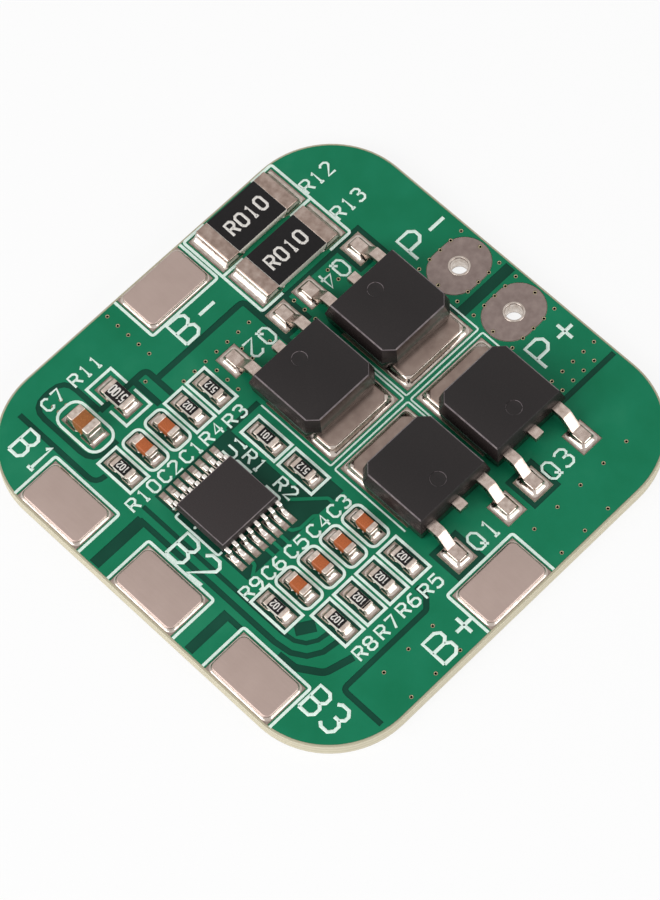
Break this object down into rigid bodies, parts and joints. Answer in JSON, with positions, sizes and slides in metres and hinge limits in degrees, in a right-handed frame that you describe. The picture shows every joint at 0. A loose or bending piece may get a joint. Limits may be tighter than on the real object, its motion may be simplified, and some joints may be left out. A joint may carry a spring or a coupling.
{
  "type": "battery management board",
  "caption": "Flat square battery protection board with rounded corners, weld plates along its edges, power transistors, shunt resistors, a small controller chip and two plated wire holes.",
  "frame": {"origin": "centre of the board's underside", "axes": "+Z out of the component face, +X towards the edge with the two wire holes, +Y towards the edge with the shunt resistors"},
  "size_m": [0.0344, 0.0344, 0.0035],
  "materials": {
    "laminate": "bare glass-epoxy laminate",
    "mask": "green solder mask over copper",
    "tinned_land": "tinned copper land",
    "wire_land": "dull tinned copper land with a plated barrel",
    "via_copper": "plated copper",
    "print": "screen-printed epoxy ink",
    "nickel": "matt rolled nickel",
    "epoxy": "matt black moulding epoxy",
    "chip_epoxy": "matt dark grey moulding epoxy",
    "tinned_lead": "matt tin on copper",
    "alumina": "white alumina",
    "coat": "glossy dark glass coat",
    "end_cap": "tin over nickel",
    "capacitor_brown": "orange-brown fired ceramic",
    "capacitor_dark": "dark brown fired ceramic",
    "solder": "bright reflowed solder"
  },
  "bodies": {
    "root": {"circuit_board": "laminate", "top_mask": "mask", "bottom_mask": "mask", "solder_pads": "tinned_land", "vias": "via_copper", "screen_print": "print", "terminal_p_minus": "wire_land", "terminal_p_plus": "wire_land", "weld_plate_b1": "nickel", "weld_plate_b2": "nickel", "weld_plate_b3": "nickel", "weld_plate_b_minus": "nickel", "weld_plate_b_plus": "nickel", "q1_body": "epoxy", "q1_tab": "tinned_lead", "q1_legs": "tinned_lead", "q2_body": "epoxy", "q2_tab": "tinned_lead", "q2_legs": "tinned_lead", "q3_body": "epoxy", "q3_tab": "tinned_lead", "q3_legs": "tinned_lead", "q4_body": "epoxy", "q4_tab": "tinned_lead", "q4_legs": "tinned_lead", "u1_body": "chip_epoxy", "u1_legs": "tinned_lead", "r12_core": "alumina", "r13_core": "alumina", "shunt_coats": "coat", "shunt_end_caps": "end_cap", "r1_core": "alumina", "r2_core": "alumina", "r3_core": "alumina", "r4_core": "alumina", "r5_core": "alumina", "r6_core": "alumina", "r7_core": "alumina", "r8_core": "alumina", "r9_core": "alumina", "r10_core": "alumina", "r11_core": "alumina", "resistor_coats": "coat", "resistor_end_caps": "end_cap", "c1_block": "capacitor_brown", "c2_block": "capacitor_brown", "c3_block": "capacitor_brown", "c4_block": "capacitor_brown", "c5_block": "capacitor_brown", "c6_block": "capacitor_brown", "c7_block": "capacitor_dark", "capacitor_end_caps": "end_cap", "solder_joints": "solder"}
  },
  "joints": []
}
